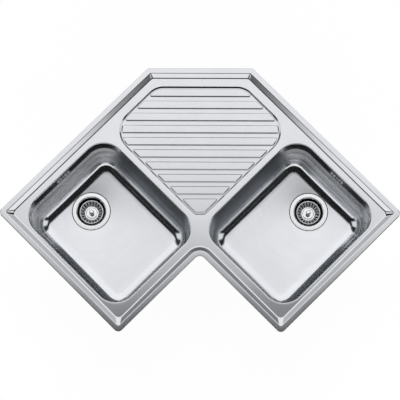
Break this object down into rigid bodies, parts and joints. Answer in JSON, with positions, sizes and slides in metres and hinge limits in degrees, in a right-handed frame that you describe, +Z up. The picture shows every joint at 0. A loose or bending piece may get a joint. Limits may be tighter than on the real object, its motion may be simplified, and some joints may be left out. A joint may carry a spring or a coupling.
{
  "type": "corner kitchen sink",
  "caption": "Inset corner sink in brushed steel with a bowl on each arm, a ribbed drainer between them, lift-out basket strainers, overflows and swing-out worktop clips.",
  "frame": {"origin": "middle of the sink's plan box, on the worktop surface that the rim seal rests on", "axes": "+Z up out of the bowls, +Y into the corner of the room, +X to the right seen from the front"},
  "size_m": [1.1612, 0.78, 0.286],
  "materials": {
    "deck_steel": "satin stainless sheet with a fine grain",
    "bowl_steel": "satin stainless bowl with a fine grain",
    "strainer_steel": "bright stainless pressing",
    "polished_steel": "polished",
    "clip_steel": "zinc plated, dull",
    "rubber_seal": "matt black rubber",
    "foam_strip": "matt dark grey foam strip",
    "sound_pad": "matt bitumen pad",
    "waste_plastic": "moulded white polypropylene",
    "pipe_plastic": "extruded white polypropylene"
  },
  "bodies": {
    "sink": {"deck": "deck_steel", "rim_seal": "foam_strip", "drainer_pad": "sound_pad", "clip_brackets": "clip_steel", "clip_screws": "clip_steel", "left_bowl": "bowl_steel", "left_bowl_pad": "sound_pad", "left_strainer_cup": "strainer_steel", "left_flange_seal": "rubber_seal", "left_waste_gasket": "rubber_seal", "left_waste_body": "waste_plastic", "left_waste_screw": "clip_steel", "left_overflow_seal": "rubber_seal", "left_overflow_head": "waste_plastic", "left_overflow_screw": "polished_steel", "left_overflow_pipe": "pipe_plastic", "left_pipe_nut": "waste_plastic", "left_pipe_washer": "rubber_seal", "right_bowl": "bowl_steel", "right_bowl_pad": "sound_pad", "right_strainer_cup": "strainer_steel", "right_flange_seal": "rubber_seal", "right_waste_gasket": "rubber_seal", "right_waste_body": "waste_plastic", "right_waste_screw": "clip_steel", "right_overflow_seal": "rubber_seal", "right_overflow_head": "waste_plastic", "right_overflow_screw": "polished_steel", "right_overflow_pipe": "pipe_plastic", "right_pipe_nut": "waste_plastic", "right_pipe_washer": "rubber_seal"},
    "left_basket_unit": {"left_basket": "strainer_steel", "left_basket_disc": "rubber_seal", "left_basket_knob": "polished_steel"},
    "left_leg_1": {"left_clip_leg_1": "clip_steel"},
    "left_leg_2": {"left_clip_leg_2": "clip_steel"},
    "left_leg_3": {"left_clip_leg_3": "clip_steel"},
    "left_leg_4": {"left_clip_leg_4": "clip_steel"},
    "left_leg_5": {"left_clip_leg_5": "clip_steel"},
    "left_leg_6": {"left_clip_leg_6": "clip_steel"},
    "right_basket_unit": {"right_basket": "strainer_steel", "right_basket_disc": "rubber_seal", "right_basket_knob": "polished_steel"},
    "right_leg_1": {"right_clip_leg_1": "clip_steel"},
    "right_leg_2": {"right_clip_leg_2": "clip_steel"},
    "right_leg_3": {"right_clip_leg_3": "clip_steel"},
    "right_leg_4": {"right_clip_leg_4": "clip_steel"},
    "right_leg_5": {"right_clip_leg_5": "clip_steel"},
    "right_leg_6": {"right_clip_leg_6": "clip_steel"}
  },
  "joints": [
    {"name": "left_basket_lift", "type": "slide", "parent": "sink", "child": "left_basket_unit", "axis": [0, 0, 1], "range_m": [0, 0.25]},
    {"name": "left_leg_1_swing", "type": "hinge", "parent": "sink", "child": "left_leg_1", "pos_m": [-0.23617, 0.27125, -0.05], "axis": [0, 0, 1], "range_deg": [0, 90]},
    {"name": "left_leg_2_swing", "type": "hinge", "parent": "sink", "child": "left_leg_2", "pos_m": [-0.50134, 0.00609, -0.05], "axis": [0, 0, 1], "range_deg": [0, 90]},
    {"name": "left_leg_3_swing", "type": "hinge", "parent": "sink", "child": "left_leg_3", "pos_m": [-0.46952, -0.12331, -0.05], "axis": [0, 0, 1], "range_deg": [0, 90]},
    {"name": "left_leg_4_swing", "type": "hinge", "parent": "sink", "child": "left_leg_4", "pos_m": [-0.31395, -0.27888, -0.05], "axis": [0, 0, 1], "range_deg": [0, 90]},
    {"name": "left_leg_5_swing", "type": "hinge", "parent": "sink", "child": "left_leg_5", "pos_m": [-0.13506, -0.2612, -0.05], "axis": [0, 0, 1], "range_deg": [0, 90]},
    {"name": "left_leg_6_swing", "type": "hinge", "parent": "sink", "child": "left_leg_6", "pos_m": [-0.08, 0.36405, -0.05], "axis": [0, 0, 1], "range_deg": [0, 90]},
    {"name": "right_basket_lift", "type": "slide", "parent": "sink", "child": "right_basket_unit", "axis": [0, 0, 1], "range_m": [0, 0.25]},
    {"name": "right_leg_1_swing", "type": "hinge", "parent": "sink", "child": "right_leg_1", "pos_m": [0.23617, 0.27125, -0.05], "axis": [0, 0, -1], "range_deg": [0, 90]},
    {"name": "right_leg_2_swing", "type": "hinge", "parent": "sink", "child": "right_leg_2", "pos_m": [0.50134, 0.00609, -0.05], "axis": [0, 0, -1], "range_deg": [0, 90]},
    {"name": "right_leg_3_swing", "type": "hinge", "parent": "sink", "child": "right_leg_3", "pos_m": [0.46952, -0.12331, -0.05], "axis": [0, 0, -1], "range_deg": [0, 90]},
    {"name": "right_leg_4_swing", "type": "hinge", "parent": "sink", "child": "right_leg_4", "pos_m": [0.31395, -0.27888, -0.05], "axis": [0, 0, -1], "range_deg": [0, 90]},
    {"name": "right_leg_5_swing", "type": "hinge", "parent": "sink", "child": "right_leg_5", "pos_m": [0.13506, -0.2612, -0.05], "axis": [0, 0, -1], "range_deg": [0, 90]},
    {"name": "right_leg_6_swing", "type": "hinge", "parent": "sink", "child": "right_leg_6", "pos_m": [0.08, 0.36405, -0.05], "axis": [0, 0, -1], "range_deg": [0, 90]}
  ]
}
